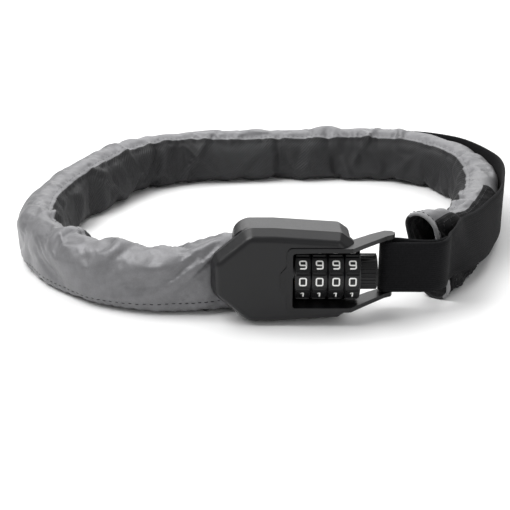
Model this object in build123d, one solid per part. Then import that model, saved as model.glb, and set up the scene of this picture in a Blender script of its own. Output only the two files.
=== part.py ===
from build123d import *
from math import atan2, cos, degrees, hypot, pi, radians, sin
import os

# Wearable chain lock: a combination lock head on a hardened chain in a fabric sleeve,
# worn as a belt and closed by a webbing strap.  Millimetres, +Z up, front faces -Y.
# The model is laid out about the dial axis, then moved so that the origin is the
# bottom centre of the whole object.

# ---------------------------------------------------------------- driving dimensions
ORIGIN = (10.216, 116.8346)       # layout position of the object's bottom centre
AXIS_Z = 25.0                    # height of the dial axis above the ground

HEAD_LEFT = -22.0                # lock head outline
HEAD_RIGHT = 48.8
HEAD_HALF_H = 25.0
ARM_HALF_H = 22.8
FRONT_Y = -12.0
PARTING_Y = -2.0
REAR_Y = 17.8
REAR_ROUND = 5.5
WINDOW_X = 17.0                  # the dial window runs from here out to the right
WINDOW_HALF = 17.2

DIAL_COUNT = 4
DIAL_X0 = 19.5
DIAL_PITCH = 8.1
DIAL_WIDTH = 7.8
DIAL_R = 14.0
DIAL_FLAT = 13.45
CODE_R = 9.2
CORE_R = 5.0
SPINDLE_R = 2.5
KNOB_R = 9.0
KNOB_X = 52.2
KNOB_LEN = 8.2

WIRE_R = 3.0                     # hardened chain
LINK_LEN = 30.0                  # end wire centre to end wire centre
LINK_R = 7.25                    # end bend radius on the wire centre
CHAIN_Z = 18.0
H_SPAN = LINK_LEN - 2 * LINK_R   # hinge to hinge through a link lying flat
V_SPAN = LINK_LEN                # hinge to hinge through an upright link

TUBE_T = 25.0                    # sleeve thickness and height
TUBE_H = 36.0
WALL = 1.1
SEAM_TILT = -62.0                # line that joins the two seams, in the section
KNEE_GAP = 2.8                   # sleeve cut back from a hinge

ANCHOR = (-6.0, 10.5)
FL = (-44.25, 10.5)              # belt hinges, clockwise from the lock head
LK = (-124.19, 118.13)
BL = (-44.67, 223.81)
BR = (75.96, 234.35)
RK = (137.71, 121.27)
FR = (67.0, 9.0)                 # centre of the bar the strap goes round

STRAP_T = 1.8
STRAP_W = 27.5
STRAP_Z = 24.6
BAR_R = 2.0
FOLD_R = 3.4                     # strap mid line round the bar

BOLT_R = 4.0
BOLT_Y = 10.2
BOLT_Z = 36.0
BOLT_TRAVEL = 10.6               # how far the bolt is drawn back
CAM_TURN = 90.0                  # by this turn of the knob
CAM_R = 5.0
CAM_X0 = -9.6
CAM_X1 = 5.4

# place along the head, height from the axis, shank radius and head radius of each screw pair
SCREW_PAIRS = [(3.0, 19.2, 1.5, 2.6), (38.0, 19.4, 1.0, 1.7)]
SCREW_SINK = 5.4                 # bottom of the screw heads below the rear face

os.makedirs("parts", exist_ok=True)


def save(name, *solids):
    flat = []
    for item in solids:
        flat.extend(item.solids())
    moved = [Pos(-ORIGIN[0], -ORIGIN[1], 0) * s for s in flat]
    body = moved[0] if len(moved) == 1 else Compound(children=moved)
    body.label = name
    export_step(body, f"parts/{name}.step")


def upright(shape):
    """Turn a shape drawn in the front plane (x, height, depth to the front)."""
    return Pos(0, 0, AXIS_Z) * Rot(90, 0, 0) * shape


def on_axis(shape, x=0.0):
    """Turn a shape built along +Z so that it lies along the dial axis."""
    return Pos(x, 0, AXIS_Z) * Rot(0, 90, 0) * shape


def box(x0, x1, y0, y1, z0, z1):
    size = Box(x1 - x0, y1 - y0, z1 - z0)
    return Pos((x0 + x1) / 2, (y0 + y1) / 2, (z0 + z1) / 2) * size


def rod_y(x, z, y0, y1, r):
    return Pos(x, (y0 + y1) / 2, z) * Rot(90, 0, 0) * Cylinder(r, y1 - y0)


def rod_x(y, z, x0, x1, r):
    return Pos((x0 + x1) / 2, y, z) * Rot(0, 90, 0) * Cylinder(r, x1 - x0)


def rod_z(x, y, z0, z1, r):
    return Pos(x, y, (z0 + z1) / 2) * Cylinder(r, z1 - z0)


# ---------------------------------------------------------------- belt centre line
def heading(deg):
    return (cos(radians(deg)), sin(radians(deg)))


def biarc(p0, h0, p1, h1):
    """Two tangent arcs from p0 to p1, as three-point arcs."""
    t0, t1 = heading(h0), heading(h1)
    v = (p1[0] - p0[0], p1[1] - p0[1])
    tx, ty = t0[0] + t1[0], t0[1] + t1[1]
    a = 2 * (1 - (t0[0] * t1[0] + t0[1] * t1[1]))
    b = 2 * (v[0] * tx + v[1] * ty)
    c = -(v[0] ** 2 + v[1] ** 2)
    if abs(a) < 1e-9:
        d = -c / b
    else:
        d = (-b + (b * b - 4 * a * c) ** 0.5) / (2 * a)
    q0 = (p0[0] + d * t0[0], p0[1] + d * t0[1])
    q1 = (p1[0] - d * t1[0], p1[1] - d * t1[1])
    joint = ((q0[0] + q1[0]) / 2, (q0[1] + q1[1]) / 2)
    middle = degrees(atan2(q1[1] - q0[1], q1[0] - q0[0]))
    return [(p0, h0, joint), (joint, middle, p1)]


class Course:
    """A plane curve of tangent arcs through (x, y, heading) stations."""

    def __init__(self, stations):
        self.arcs = []
        for (x0, y0, h0), (x1, y1, h1) in zip(stations, stations[1:]):
            for start, h, end in biarc((x0, y0), h0, (x1, y1), h1):
                self.arcs.append(self.measure(start, h, end))
        self.length = sum(arc[3] for arc in self.arcs)

    @staticmethod
    def measure(start, h, end):
        dx, dy = end[0] - start[0], end[1] - start[1]
        chord = hypot(dx, dy)
        turn = 2 * (degrees(atan2(dy, dx)) - h)
        turn = (turn + 180) % 360 - 180
        if abs(turn) < 1e-6:
            return (start, h, 0.0, chord)
        length = chord * radians(turn / 2) / sin(radians(turn / 2))
        return (start, h, radians(turn) / length, length)

    def at(self, s):
        """Point and heading at arc length s; the ends run on straight."""
        for start, h, k, length in self.arcs:
            if s <= length or start is self.arcs[-1][0]:
                break
            s -= length
        if abs(k) < 1e-12 or s < 0:
            t = heading(h)
            return (start[0] + s * t[0], start[1] + s * t[1]), h
        a0, a1 = radians(h), radians(h) + k * s
        x = start[0] + (sin(a1) - sin(a0)) / k
        y = start[1] - (cos(a1) - cos(a0)) / k
        return (x, y), degrees(a1)

    def beside(self, s, offset):
        (x, y), h = self.at(s)
        n = heading(h + 90)
        return (x + n[0] * offset, y + n[1] * offset)

    def wire(self, s0, s1, offset=0.0, z=0.0):
        """The curve between two arc lengths, moved sideways, as one wire."""
        cuts = [s0]
        total = 0.0
        for arc in self.arcs:
            total += arc[3]
            if s0 + 0.5 < total < s1 - 0.5:
                cuts.append(total)
        cuts.append(s1)
        edges = []
        for a, b in zip(cuts, cuts[1:]):
            pts = [(*self.beside(s, offset), z) for s in (a, (a + b) / 2, b)]
            edges.append(ThreePointArc(*pts))
        return Wire(edges)

    def plane(self, s, offset=0.0, z=0.0):
        """Section plane at s: x outward, y up, z along the curve."""
        (px, py) = self.beside(s, offset)
        h = self.at(s)[1]
        out = heading(h + 90)
        along = heading(h)
        return Plane(origin=(px, py, z), x_dir=(*out, 0), z_dir=(*along, 0))

    def chord_points(self, spans):
        """Points on the curve with chords in the given ratio, end to end."""
        lo, hi = 0.5, 1.5
        for _ in range(60):
            k = (lo + hi) / 2
            s, points = 0.0, [self.at(0.0)[0]]
            for span in spans:
                s = self.step(points[-1], s, span * k)
                points.append(self.at(s)[0])
            if s > self.length:
                hi = k
            else:
                lo = k
        return points, k

    def step(self, point, s, chord):
        a, b = s, s + chord * 1.5
        for _ in range(50):
            m = (a + b) / 2
            (x, y), _h = self.at(m)
            if hypot(x - point[0], y - point[1]) < chord:
                a = m
            else:
                b = m
        return (a + b) / 2


COURSES = {
    "left_front": Course([(*FL, 178.5), (-86, 26, 147), (-121, 66, 112), (*LK, 79.6)]),
    "left_back": Course([(*LK, 79.6), (-105, 172, 64), (-84, 203, 46), (*BL, 16.2)]),
    "back": Course([(*BL, 16.2), (0, 231, 4), (46, 234, 2), (*BR, -3.3)]),
    "right_back": Course([(*BR, -3.3), (88, 233, -10), (118, 220, -40), (138, 194, -66),
                          (144.5, 163, -91), (*RK, -105.4)]),
    "right_front": Course([(*RK, -105.4), (127, 90, -113), (112, 60, -119), (98, 36, -120),
                           (91, 24, -118)]),
}
NEXT_FLAT = {
    "left_front": False,
    "left_back": True,
    "back": False,
    "right_back": True,
    "right_front": False,
}


# ---------------------------------------------------------------- chain
def make_link():
    bend = revolve(Pos(LINK_R, 0, 0) * Plane.XZ * Circle(WIRE_R), Axis.Z, 180)
    left = Pos(-H_SPAN / 2, 0, 0) * Rot(0, 0, 90) * bend
    right = Pos(H_SPAN / 2, 0, 0) * Rot(0, 0, -90) * bend
    link = left + right
    for side in (-LINK_R, LINK_R):
        link += Pos(0, side, 0) * Rot(0, 90, 0) * Cylinder(WIRE_R, H_SPAN)
    return link


LINK = make_link()


def place_link(p0, p1, flat, z=CHAIN_Z, shift=0.0):
    """A link between two hinge points; shift moves it along its own length."""
    dx, dy = p1[0] - p0[0], p1[1] - p0[1]
    n = hypot(dx, dy)
    ux, uy = dx / n, dy / n
    mid = ((p0[0] + p1[0]) / 2 + ux * shift, (p0[1] + p1[1]) / 2 + uy * shift, z)
    normal = (0, 0, 1) if flat else (-uy, ux, 0)
    return Plane(origin=mid, x_dir=(ux, uy, 0), z_dir=normal) * LINK


def chain_run(course, flat_first, tail=0):
    """Links hinge to hinge; the end links keep their hinge exactly."""
    count = 5
    while True:
        spans = []
        for i in range(count):
            spans.append(H_SPAN if flat_first == (i % 2 == 0) else V_SPAN)
        points, k = course.chord_points(spans)
        if k <= 1.02:
            break
        count += 1
    links = []
    for i in range(count - tail):
        slack = (1 - k) * spans[i] / 2
        shift = slack if i == 0 else 0.0
        if i == count - 1:
            shift = -slack
        flat = flat_first == (i % 2 == 0)
        links.append(place_link(points[i], points[i + 1], flat, shift=shift))
    return links


# ---------------------------------------------------------------- sleeve
def ring_section(thick, high):
    outer = SlotOverall(high, thick, rotation=90)
    inner = SlotOverall(high - 2 * WALL, thick - 2 * WALL, rotation=90)
    return outer - inner


def panel(section, side):
    """The part of the ring outside (+1) or inside (-1) of the two seams."""
    half = Rot(0, 0, SEAM_TILT) * Pos(0, side * 40.03) * Rectangle(160, 80)
    return section & half


def sleeve_run(course, s0, s1, side):
    section = panel(ring_section(TUBE_T, TUBE_H), side)
    start = course.plane(s0, z=TUBE_H / 2)
    return sweep(start * section, path=course.wire(s0, s1, z=TUBE_H / 2))


def sleeve_stub(side):
    """The sleeve flattened where it is clamped, widening out to the first hinge."""
    x_clamp, x_wide, x_end = -12.6, -29.5, FL[0] + KNEE_GAP
    sections = []
    for x, thick, high in ((x_clamp, 15.0, 41.0), (x_wide, TUBE_T, TUBE_H)):
        sections.append((x, thick, high))

    def station(x, high):
        return Plane(origin=(x, FL[1], high / 2), x_dir=(0, -1, 0), z_dir=(-1, 0, 0))

    outer = []
    inner = []
    for x, thick, high in sections:
        outer.append(station(x, high) * SlotOverall(high, thick, rotation=90))
        hollow = SlotOverall(high - 2 * WALL, thick - 2 * WALL, rotation=90)
        inner.append(station(x, high) * hollow)
    tube = loft(outer) - loft(inner)
    straight = station(x_wide, TUBE_H) * ring_section(TUBE_T, TUBE_H)
    tube += extrude(straight, amount=x_wide - x_end)
    cutter = station(0, TUBE_H) * Rot(0, 0, SEAM_TILT)
    cutter = cutter * Pos(0, side * 40.03, 30) * Box(160, 80, 80)
    return tube & cutter


# ---------------------------------------------------------------- strap
def strap_body(points_wire, plane, width=STRAP_W, thick=STRAP_T):
    return sweep(plane * Rectangle(thick, width), path=points_wire)


# ---------------------------------------------------------------- lock head shells
LINK_SLOT = box(6.2, 13.0, -0.4, 30, BOLT_Z - 10.8, BOLT_Z + 10.8)


def head_outline(left, left_half, chamfer_x, grow=0.0):
    pts = [
        (left, -left_half),
        (left, left_half),
        (chamfer_x, HEAD_HALF_H + grow),
        (9.0, HEAD_HALF_H + grow),
        (42.0, ARM_HALF_H + grow),
        (HEAD_RIGHT + grow, 17.6),
        (HEAD_RIGHT + grow, -17.6),
        (42.0, -ARM_HALF_H - grow),
        (9.0, -HEAD_HALF_H - grow),
        (chamfer_x, -HEAD_HALF_H - grow),
    ]
    face = make_face(Polyline(*reversed(pts), close=True))
    corners = face.vertices()
    face = fillet([v for v in corners if v.X < chamfer_x + 1], 8.5)
    face = fillet([v for v in face.vertices() if v.X > 40 and abs(v.Y) > 17.5], 3.9)
    gentle = [v for v in face.vertices() if 8 < v.X < 10]
    return fillet(gentle, 30.0)


def front_housing():
    outline = head_outline(HEAD_LEFT, 9.3, -3.7)
    rim = 3.0
    depth = PARTING_Y - FRONT_Y
    slab = Pos(0, 0, -PARTING_Y) * extrude(outline, amount=rim)
    slope = Pos(0, 0, -PARTING_Y + rim) * extrude(outline, amount=depth - rim, taper=25)
    shell = slab + slope
    shell = fillet(shell.faces().sort_by(Axis.Z)[-1].edges(), 3.4)
    shell = upright(shell)
    shell -= box(WINDOW_X, 60, -20, 0, AXIS_Z - WINDOW_HALF, AXIS_Z + WINDOW_HALF)
    shell -= box(-10.5, 15.0, FRONT_Y + 2.4, 0, AXIS_Z - 16, AXIS_Z + 16)
    shell -= rod_x(0, AXIS_Z, 14, 18, CORE_R + 0.05)
    for x, z, shank, _head in all_screws():
        shell -= rod_y(x, z, FRONT_Y + 4, 0, shank + 0.05)
    return shell


def rear_housing():
    outline = head_outline(-11.6, 20.4, -4.2, grow=-1.2)
    shell = extrude(outline, amount=REAR_Y - PARTING_Y)
    shell = fillet(shell.faces().sort_by(Axis.Z)[0].edges(), REAR_ROUND)
    shell = upright(Pos(0, 0, -REAR_Y) * shell)
    pocket = box(-10.0, 15.0, -10, REAR_Y - 1.6, AXIS_Z - 16, AXIS_Z + 16)
    shell -= pocket
    shell -= box(WINDOW_X, 60, -10, 14.7, AXIS_Z - WINDOW_HALF, AXIS_Z + WINDOW_HALF)
    shell -= rod_x(0, AXIS_Z, 14, 18, CORE_R + 0.05)
    shell -= box(-14, 4.8, ANCHOR[1] - 3.6, ANCHOR[1] + 3.6, 7.2, CHAIN_Z + 11)
    shell -= LINK_SLOT
    shell -= box(13.0, 16.95, BOLT_Y - 5.0, 14.4, BOLT_Z - 5.0, BOLT_Z + 5.0)
    for x, z, shank, head in all_screws():
        shell -= rod_y(x, z, -10, 30, shank + 0.1)
        shell -= rod_y(x, z, REAR_Y - SCREW_SINK - 0.02, 30, head + 0.15)
    return shell


def all_screws():
    screws = []
    for x, up, shank, head in SCREW_PAIRS:
        for side in (-1, 1):
            screws.append((x, AXIS_Z + side * up, shank, head))
    return screws


def screws():
    made = []
    for x, z, shank, head in all_screws():
        bottom = REAR_Y - SCREW_SINK
        screw = rod_y(x, z, FRONT_Y + 5, bottom + 1, shank)
        screw += rod_y(x, z, bottom, bottom + 2.0, head)
        screw -= rod_y(x, z, bottom + 0.9, bottom + 3, head * 0.45)
        made.append(screw)
    return made


def strap_frame():
    """Bezel round the dials, carried on to a loop with a bar for the strap."""
    outer = [
        (12.4, -5.0), (12.4, 3.6), (15.4, 7.3), (15.6, 17.0),
        (46.5, 17.0), (46.5, 15.2), (18.4, 14.4), (18.4, -14.7), (46.5, -14.7),
        (46.5, -17.0), (15.6, -17.0), (15.4, -9.0),
    ]
    plate = make_face(Polyline(*reversed(outer), close=True))
    plate = fillet([v for v in plate.vertices() if v.X < 15.5], 1.2)
    plate = fillet([v for v in plate.vertices() if 15.5 < v.X < 16 and abs(v.Y) > 16], 3.0)
    plate = fillet([v for v in plate.vertices() if 18 < v.X < 19], 1.4)
    bezel = upright(Pos(0, 0, 12.05) * extrude(plate, amount=0.6))
    bezel -= Pos(14.0, FRONT_Y - 0.6, AXIS_Z - 0.6) * Rot(90, 0, 0) * Cone(0.6, 0.2, 0.5)
    wall = box(17.1, 18.4, -12.1, -1.0, AXIS_Z - 17, AXIS_Z + 17)
    wall -= rod_x(0, AXIS_Z, 16, 20, CORE_R + 1.4)
    bezel += wall
    side = [
        (17.2, -12.4), (47.5, -12.4), (57.0, -3.5), (66.0, 4.6), (69.6, 6.6),
        (70.6, 9.4), (69.0, 12.0), (65.4, 12.4), (58.0, 7.6), (48.5, 0.0), (17.2, 0.0),
    ]
    profile = make_face(Polyline(*side, close=True))
    tip = [v for v in profile.vertices() if v.X > 64]
    profile = fillet(tip, 1.2)
    for z in (AXIS_Z + 14.7, AXIS_Z - 17.0):
        bezel += Pos(0, 0, z) * extrude(profile, amount=2.3)
    bezel += rod_z(FR[0], FR[1], AXIS_Z - 15, AXIS_Z + 15, BAR_R)
    return bezel


# ---------------------------------------------------------------- barrel and dials
def dial(i):
    blank = Cylinder(DIAL_R, DIAL_WIDTH)
    blank = chamfer(blank.edges(), 0.7)
    ring = blank & extrude(RegularPolygon(DIAL_FLAT, 10, major_radius=False),
                           DIAL_WIDTH / 2, both=True)
    grip = Cylinder(1.0, DIAL_WIDTH - 1.4)
    for spot in PolarLocations(DIAL_FLAT / cos(pi / 10) + 0.05, 10):
        ring -= spot * grip
    ring -= Cylinder(CODE_R + 0.02, DIAL_WIDTH + 1)
    return on_axis(ring, dial_centre(i))


def dial_centre(i):
    return DIAL_X0 + DIAL_PITCH * i + DIAL_WIDTH / 2


def code_sleeve(i):
    ring = Cylinder(CODE_R, DIAL_WIDTH - 0.6)
    ring -= Cylinder(CORE_R + 0.08, DIAL_WIDTH)
    ring -= Pos(CORE_R + 0.8, 0, 0) * Box(2.4, 1.9, DIAL_WIDTH)
    return on_axis(ring, dial_centre(i))


def barrel_core():
    tube = rod_x(0, AXIS_Z, 14.2, 51.6, CORE_R)
    tube += rod_x(0, AXIS_Z, 13.2, 14.9, CORE_R + 1.6)
    tube -= rod_x(0, AXIS_Z, 10, 60, SPINDLE_R + 0.06)
    for i in range(DIAL_COUNT):
        x = dial_centre(i)
        tube -= rod_z(x, 0, AXIS_Z + SPINDLE_R, AXIS_Z + 8, 0.85)
    return tube


def detent_balls():
    return [Pos(dial_centre(i), 0, AXIS_Z + 4.1) * Sphere(0.8) for i in range(DIAL_COUNT)]


def end_knob():
    knob = Cylinder(KNOB_R, KNOB_LEN)
    groove = Pos(0, 0, -0.9) * Cylinder(0.55, KNOB_LEN)
    for spot in PolarLocations(KNOB_R + 0.1, 30):
        knob -= spot * groove
    knob -= Pos(0, 0, KNOB_LEN / 2) * Cylinder(KNOB_R - 2.2, 1.6)
    knob -= Pos(0, 0, -KNOB_LEN / 2) * Cylinder(2.0, 2 * KNOB_LEN + 1)
    knob -= Pos(-KNOB_R, 0, KNOB_LEN / 2) * Box(1.6, 1.8, 2.2)
    return on_axis(knob, KNOB_X + KNOB_LEN / 2)


def spindle():
    rod = rod_x(0, AXIS_Z, -9.0, KNOB_X + KNOB_LEN - 3.0, SPINDLE_R - 0.55)
    rod += rod_x(0, AXIS_Z, -9.0, KNOB_X - 0.1, SPINDLE_R)
    return rod


def cam_drum():
    """Drum with one helical groove; a quarter turn draws the bolt back."""
    drum = Cylinder(CAM_R, CAM_X1 - CAM_X0)
    drum -= Cylinder(SPINDLE_R + 0.02, 40)
    pitch = BOLT_TRAVEL * 360 / CAM_TURN
    rise = CAM_X1 - CAM_X0 + 6
    curve = Helix(pitch=pitch, height=rise, radius=CAM_R)
    start = Plane(origin=curve @ 0, x_dir=(1, 0, 0), z_dir=curve % 0)
    cutter = sweep(start * Rectangle(3.2, 2.6), path=curve, is_frenet=True)
    follower = (2.8 - CAM_X0 - (CAM_X1 - CAM_X0) / 2 + rise / 2) * 360 / pitch
    drum -= Rot(0, 0, 180 - follower) * Pos(0, 0, -rise / 2) * cutter
    return drum


# ---------------------------------------------------------------- locking parts
def bolt_carriage():
    ring = Cylinder(6.8, 4.4) - Cylinder(CAM_R + 0.07, 6)
    ring = on_axis(ring, 2.8)
    arm = box(0.6, 5.0, 3.0, BOLT_Y + 2.0, AXIS_Z + 7.2, BOLT_Z + 3.0)
    arm += box(0.6, 5.0, 0.5, 5.5, AXIS_Z + 5.4, AXIS_Z + 9.0)
    arm -= rod_x(BOLT_Y, BOLT_Z, 0, 6, BOLT_R)
    return ring + arm - cam_follower()


def locking_bolt():
    bolt = rod_x(BOLT_Y, BOLT_Z, 0.6, 16.4, BOLT_R)
    return chamfer(bolt.edges().sort_by(Axis.X)[-1], 0.7)


def cam_follower():
    pin = rod_z(2.8, 0, AXIS_Z + CAM_R - 0.9, AXIS_Z + 6.75, 1.0)
    return pin


def backing_plate():
    plate = box(-9.9, 14.9, 14.4, REAR_Y - 1.6, AXIS_Z - 15.8, AXIS_Z + 15.8)
    plate -= LINK_SLOT
    plate -= rod_y(ANCHOR[0], CHAIN_Z, 10, 20, 4.0)
    return plate


def keeper_block():
    """Steel socket beyond the slot that takes the tip of the bolt."""
    block = box(13.1, 16.9, BOLT_Y - 4.9, 14.3, BOLT_Z - 4.9, BOLT_Z + 4.9)
    block -= rod_x(BOLT_Y, BOLT_Z, 10, 18, BOLT_R + 0.06)
    return block


def anchor_pin():
    pin = rod_y(ANCHOR[0], CHAIN_Z, 7.1, REAR_Y - 1.6, 4.0)
    return pin


def sleeve_clamp():
    plug = SlotOverall(41.0 - 2 * WALL - 1.6, 15.0 - 2 * WALL - 0.5, rotation=90)
    plane = Plane(origin=(-12.6, FL[1], 20.5), x_dir=(0, -1, 0), z_dir=(-1, 0, 0))
    ring = extrude(plane * plug, amount=3.0)
    ring -= box(-20, -8, ANCHOR[1] - 3.7, ANCHOR[1] + 3.7, 6.4, 30.6)
    return ring


# ---------------------------------------------------------------- write every piece
save("front_housing", front_housing())
save("rear_housing", rear_housing())
save("housing_screws", *screws())
save("strap_frame", strap_frame())
save("backing_plate", backing_plate())
save("keeper_block", keeper_block())
save("chain_anchor_pin", anchor_pin())
save("sleeve_clamp", sleeve_clamp())

save("barrel_core", barrel_core())
save("detent_balls", *detent_balls())
for i in range(DIAL_COUNT):
    save(f"dial_{i + 1}", dial(i))
    save(f"code_sleeve_{i + 1}", code_sleeve(i))
save("end_knob", end_knob())
save("locking_spindle", spindle())
knob_screw = rod_x(0, AXIS_Z, KNOB_X + KNOB_LEN - 2.9, KNOB_X + KNOB_LEN - 0.8, 1.9)
knob_screw += rod_x(0, AXIS_Z, KNOB_X + KNOB_LEN - 0.8, KNOB_X + KNOB_LEN + 0.1, 3.2)
save("knob_screw", knob_screw)
save("cam_drum", Pos((CAM_X0 + CAM_X1) / 2, 0, AXIS_Z) * Rot(0, 90, 0) * cam_drum())
save("bolt_carriage", bolt_carriage())
save("locking_bolt", locking_bolt())
save("cam_follower", cam_follower())

stub_mid = (ANCHOR[0] + LINK_R - V_SPAN, ANCHOR[1])
stub_chain = [
    place_link((stub_mid[0], ANCHOR[1]), (ANCHOR[0] + LINK_R, ANCHOR[1]), False),
    place_link(FL, stub_mid, True),
]
save("chain_head_links", *stub_chain)
save("sleeve_outer_head", sleeve_stub(1))
save("sleeve_inner_head", sleeve_stub(-1))

for part, course in COURSES.items():
    last = part == "right_front"
    end = course.length if last else course.length - KNEE_GAP
    save(f"sleeve_outer_{part}", sleeve_run(course, KNEE_GAP, end, 1))
    save(f"sleeve_inner_{part}", sleeve_run(course, KNEE_GAP, end, -1))
    save(f"chain_{part}", *chain_run(course, NEXT_FLAT[part], tail=1 if last else 0))

# hem inside the free end of the sleeve, and the hook-and-loop patch on its outside
tip = COURSES["right_front"]
hem_section = SlotOverall(TUBE_H - 2 * WALL - 0.1, TUBE_T - 2 * WALL - 0.1, rotation=90)
hem_section -= SlotOverall(TUBE_H - 2 * WALL - 2.0, TUBE_T - 2 * WALL - 2.0, rotation=90)
hem_at = tip.plane(tip.length - 8.0, z=TUBE_H / 2)
hem_path = tip.wire(tip.length - 8.0, tip.length, z=TUBE_H / 2)
save("sleeve_hem", sweep(hem_at * hem_section, path=hem_path))

patch_section = SlotOverall(TUBE_H + 0.8, TUBE_T + 0.8, rotation=90)
patch_section -= SlotOverall(TUBE_H + 0.02, TUBE_T + 0.02, rotation=90)
patch_section &= Pos(TUBE_T / 2, 4.0) * Rectangle(TUBE_T, 24.0)
patch_from = 12.0
patch_at = tip.plane(patch_from, z=TUBE_H / 2)
patch_path = tip.wire(patch_from, tip.length - 16.0, z=TUBE_H / 2)
save("hook_patch", sweep(patch_at * patch_section, path=patch_path))

# strap: laid along the outside of the sleeve, then round the bar and back on itself
ride = TUBE_T / 2 + 0.45 + STRAP_T / 2
back = COURSES["right_back"]
rear_path = back.wire(26.0, back.length - KNEE_GAP, ride, STRAP_Z)
rear_at = back.plane(26.0, ride, STRAP_Z)
save("strap_rear", strap_body(rear_path, rear_at))

s_leave = tip.length - 1.0
leave = tip.beside(s_leave, ride)
leave_h = tip.at(s_leave)[1]
along = tip.wire(KNEE_GAP, s_leave, ride, STRAP_Z)
front_y = FR[1] - FOLD_R
back_y = FR[1] + FOLD_R
turn = biarc(leave, leave_h, (92.0, front_y), 180.0)
edges = list(along.edges())
for start, h, finish in turn:
    bit = Course.measure(start, h, finish)
    k, length = bit[2], bit[3]
    a1 = radians(h) + k * length / 2
    mid = (start[0] + (sin(a1) - sin(radians(h))) / k,
           start[1] - (cos(a1) - cos(radians(h))) / k)
    edges.append(ThreePointArc((*start, STRAP_Z), (*mid, STRAP_Z), (*finish, STRAP_Z)))
edges.append(Line((92.0, front_y, STRAP_Z), (FR[0], front_y, STRAP_Z)))
edges.append(ThreePointArc((FR[0], front_y, STRAP_Z), (FR[0] - FOLD_R, FR[1], STRAP_Z),
                           (FR[0], back_y, STRAP_Z)))
strap = strap_body(Wire(edges), tip.plane(KNEE_GAP, ride, STRAP_Z))

tail = [
    Line((FR[0], back_y, STRAP_Z), (FR[0] + 3.0, back_y, STRAP_Z)),
    Spline((FR[0] + 3.0, back_y, STRAP_Z), (FR[0] + 15.0, front_y + 2.2, STRAP_Z),
           tangents=[(1, 0, 0), (1, 0, 0)]),
    Line((FR[0] + 15.0, front_y + 2.2, STRAP_Z), (90.0, front_y + 2.2, STRAP_Z)),
]
tail_at = Plane(origin=(FR[0], back_y, STRAP_Z), x_dir=(0, 1, 0), z_dir=(1, 0, 0))
save("strap_front", strap + strap_body(Wire(tail), tail_at))
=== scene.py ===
import bpy
import bmesh
import math
import numpy as np
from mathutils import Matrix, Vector
from mathutils.bvhtree import BVHTree

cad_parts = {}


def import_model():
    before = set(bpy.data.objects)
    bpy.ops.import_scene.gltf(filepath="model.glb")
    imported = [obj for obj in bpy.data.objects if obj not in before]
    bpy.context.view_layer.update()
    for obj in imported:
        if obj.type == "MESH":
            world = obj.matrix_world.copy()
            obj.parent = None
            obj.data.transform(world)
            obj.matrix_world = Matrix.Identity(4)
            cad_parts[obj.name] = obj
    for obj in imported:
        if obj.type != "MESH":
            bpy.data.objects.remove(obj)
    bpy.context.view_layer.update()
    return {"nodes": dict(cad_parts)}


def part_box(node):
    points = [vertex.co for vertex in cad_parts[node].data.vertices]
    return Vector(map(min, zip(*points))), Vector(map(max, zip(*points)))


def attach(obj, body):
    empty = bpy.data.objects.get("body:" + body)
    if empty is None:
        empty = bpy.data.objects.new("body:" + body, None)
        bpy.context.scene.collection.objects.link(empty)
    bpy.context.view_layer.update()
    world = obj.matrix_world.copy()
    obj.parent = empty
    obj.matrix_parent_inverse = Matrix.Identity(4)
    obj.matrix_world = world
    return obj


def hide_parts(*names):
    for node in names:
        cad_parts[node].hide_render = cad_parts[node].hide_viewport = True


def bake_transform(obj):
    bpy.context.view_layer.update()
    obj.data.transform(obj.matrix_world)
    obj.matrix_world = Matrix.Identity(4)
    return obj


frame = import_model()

# ---- frame and layout
# The belt is laid out in millimetres about the dial axis, front to -Y, as the CAD is;
# dial places are read back from the frame, and the bar's place is given.
AXIS_Z = 0.025  # metres above the ground
DIAL_1_LEFT = 19.5  # left face of the first dial in the layout
DIAL_LOW, DIAL_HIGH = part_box("dial_1")
SHIFT_X = DIAL_LOW[0] * 1000 - DIAL_1_LEFT
SHIFT_Y = (DIAL_LOW[1] + DIAL_HIGH[1]) * 500


def world(points):
    """Layout millimetres to frame metres."""
    p = np.array(points, float).reshape(-1, 3)
    return (p + np.array([SHIFT_X, SHIFT_Y, 0.0])) / 1000.0


# ---- belt centre line
# Plan places (x, y, heading in degrees) that the belt runs through, from the head to its mouth.
STATIONS = [
    (-10.6, 10.5, 180), (-44.0, 10.8, 178), (-86.0, 26.0, 147), (-121.0, 66.0, 112),
    (-126.0, 100.0, 90), (-120.5, 134.0, 75), (-105.0, 172.0, 64), (-84.0, 203.0, 46),
    (-44.0, 224.0, 16), (0.0, 231.0, 4), (46.0, 234.0, 2), (88.0, 233.0, -10),
    (118.0, 220.0, -40), (138.0, 194.0, -66), (144.5, 163.0, -91), (140.0, 130.0, -104),
    (127.0, 90.0, -113), (112.0, 60.0, -119), (98.0, 36.0, -120), (91.0, 24.0, -118),
]
# Bodies on each side of a hinge of the belt, and the hinge's place in plan.
HINGES = {
    ("lock_head", "left_front_arm"): (-44.25, 10.5),
    ("left_front_arm", "left_back_arm"): (-124.19, 118.13),
    ("left_back_arm", "back_span"): (-44.67, 223.81),
    ("back_span", "right_back_arm"): (75.96, 234.35),
    ("right_back_arm", "right_front_arm"): (137.71, 121.27),
}


SPAN_POINTS = 60  # points worked out between two stations
HEADING_WINDOW = 12  # path points that the heading is averaged over


def arc_lengths(points):
    return np.concatenate([[0], np.cumsum(np.hypot(*np.diff(points, axis=0).T))])


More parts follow.
